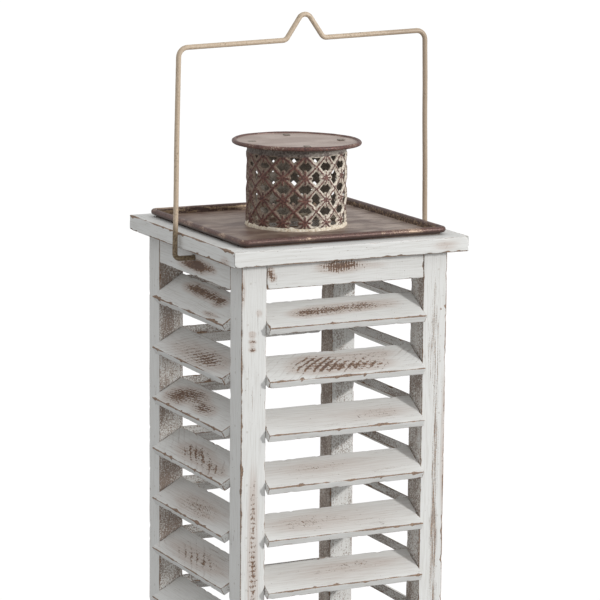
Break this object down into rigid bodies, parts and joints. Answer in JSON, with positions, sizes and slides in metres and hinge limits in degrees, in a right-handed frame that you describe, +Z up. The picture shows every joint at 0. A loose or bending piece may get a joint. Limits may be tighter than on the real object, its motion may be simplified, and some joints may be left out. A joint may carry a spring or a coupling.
{
  "type": "louvred candle lantern",
  "caption": "Square wooden candle lantern with sloping louvre slats on all sides, a lift-off metal roof with pierced chimney and flat cap, and a swinging wire bail with a raised hook.",
  "frame": {"origin": "centre of the base board's underside, on the axis of the square wooden body", "axes": "+Z up, +X to the right across the front, +Y from the front to the back; the bail hinges about X"},
  "size_m": [0.2684, 0.24, 0.7311],
  "materials": {
    "painted_wood": "chalky white paint, rough sawn, worn to brown wood along edges",
    "brads": "dull, slightly rusted",
    "roof_metal": "brushed brown, semi-gloss, reddish worn rims",
    "chimney_metal": "rusty brown with cream paint left in the hollows",
    "cap_metal": "dusty taupe brown with a dark rim",
    "filler": "lumpy cream paint",
    "bail_wire": "cream paint with rust specks, brown at the feet",
    "pan_metal": "brown, matt"
  },
  "bodies": {
    "lantern_body": {"base_board": "painted_wood", "bottom_rail_back": "painted_wood", "bottom_rail_front": "painted_wood", "bottom_rail_left": "painted_wood", "bottom_rail_right": "painted_wood", "brads": "brads", "candle_pan": "pan_metal", "header_rail_back": "painted_wood", "header_rail_front": "painted_wood", "header_rail_left": "painted_wood", "header_rail_right": "painted_wood", "post_back_left": "painted_wood", "post_back_right": "painted_wood", "post_front_left": "painted_wood", "post_front_right": "painted_wood", "slat_back_1": "painted_wood", "slat_back_2": "painted_wood", "slat_back_3": "painted_wood", "slat_back_4": "painted_wood", "slat_back_5": "painted_wood", "slat_back_6": "painted_wood", "slat_back_7": "painted_wood", "slat_back_8": "painted_wood", "slat_back_9": "painted_wood", "slat_front_1": "painted_wood", "slat_front_2": "painted_wood", "slat_front_3": "painted_wood", "slat_front_4": "painted_wood", "slat_front_5": "painted_wood", "slat_front_6": "painted_wood", "slat_front_7": "painted_wood", "slat_front_8": "painted_wood", "slat_front_9": "painted_wood", "slat_left_1": "painted_wood", "slat_left_2": "painted_wood", "slat_left_3": "painted_wood", "slat_left_4": "painted_wood", "slat_left_5": "painted_wood", "slat_left_6": "painted_wood", "slat_left_7": "painted_wood", "slat_left_8": "painted_wood", "slat_left_9": "painted_wood", "slat_right_1": "painted_wood", "slat_right_2": "painted_wood", "slat_right_3": "painted_wood", "slat_right_4": "painted_wood", "slat_right_5": "painted_wood", "slat_right_6": "painted_wood", "slat_right_7": "painted_wood", "slat_right_8": "painted_wood", "slat_right_9": "painted_wood", "top_plank_back": "painted_wood", "top_plank_front": "painted_wood", "top_plank_left": "painted_wood", "top_plank_right": "painted_wood"},
    "bail": {"bail_handle": "bail_wire"},
    "lid": {"lid_tray": "roof_metal", "chimney_wall": "chimney_metal", "chimney_seal": "filler", "chimney_cap": "cap_metal"}
  },
  "joints": [
    {"name": "bail_swing", "type": "hinge", "parent": "lantern_body", "child": "bail", "pos_m": [0, 0, 0.506], "axis": [1, 0, 0], "range_deg": [-142, 142]},
    {"name": "lid_lift", "type": "slide", "parent": "lantern_body", "child": "lid", "axis": [0, 0, 1], "range_m": [0, 0.08]}
  ]
}
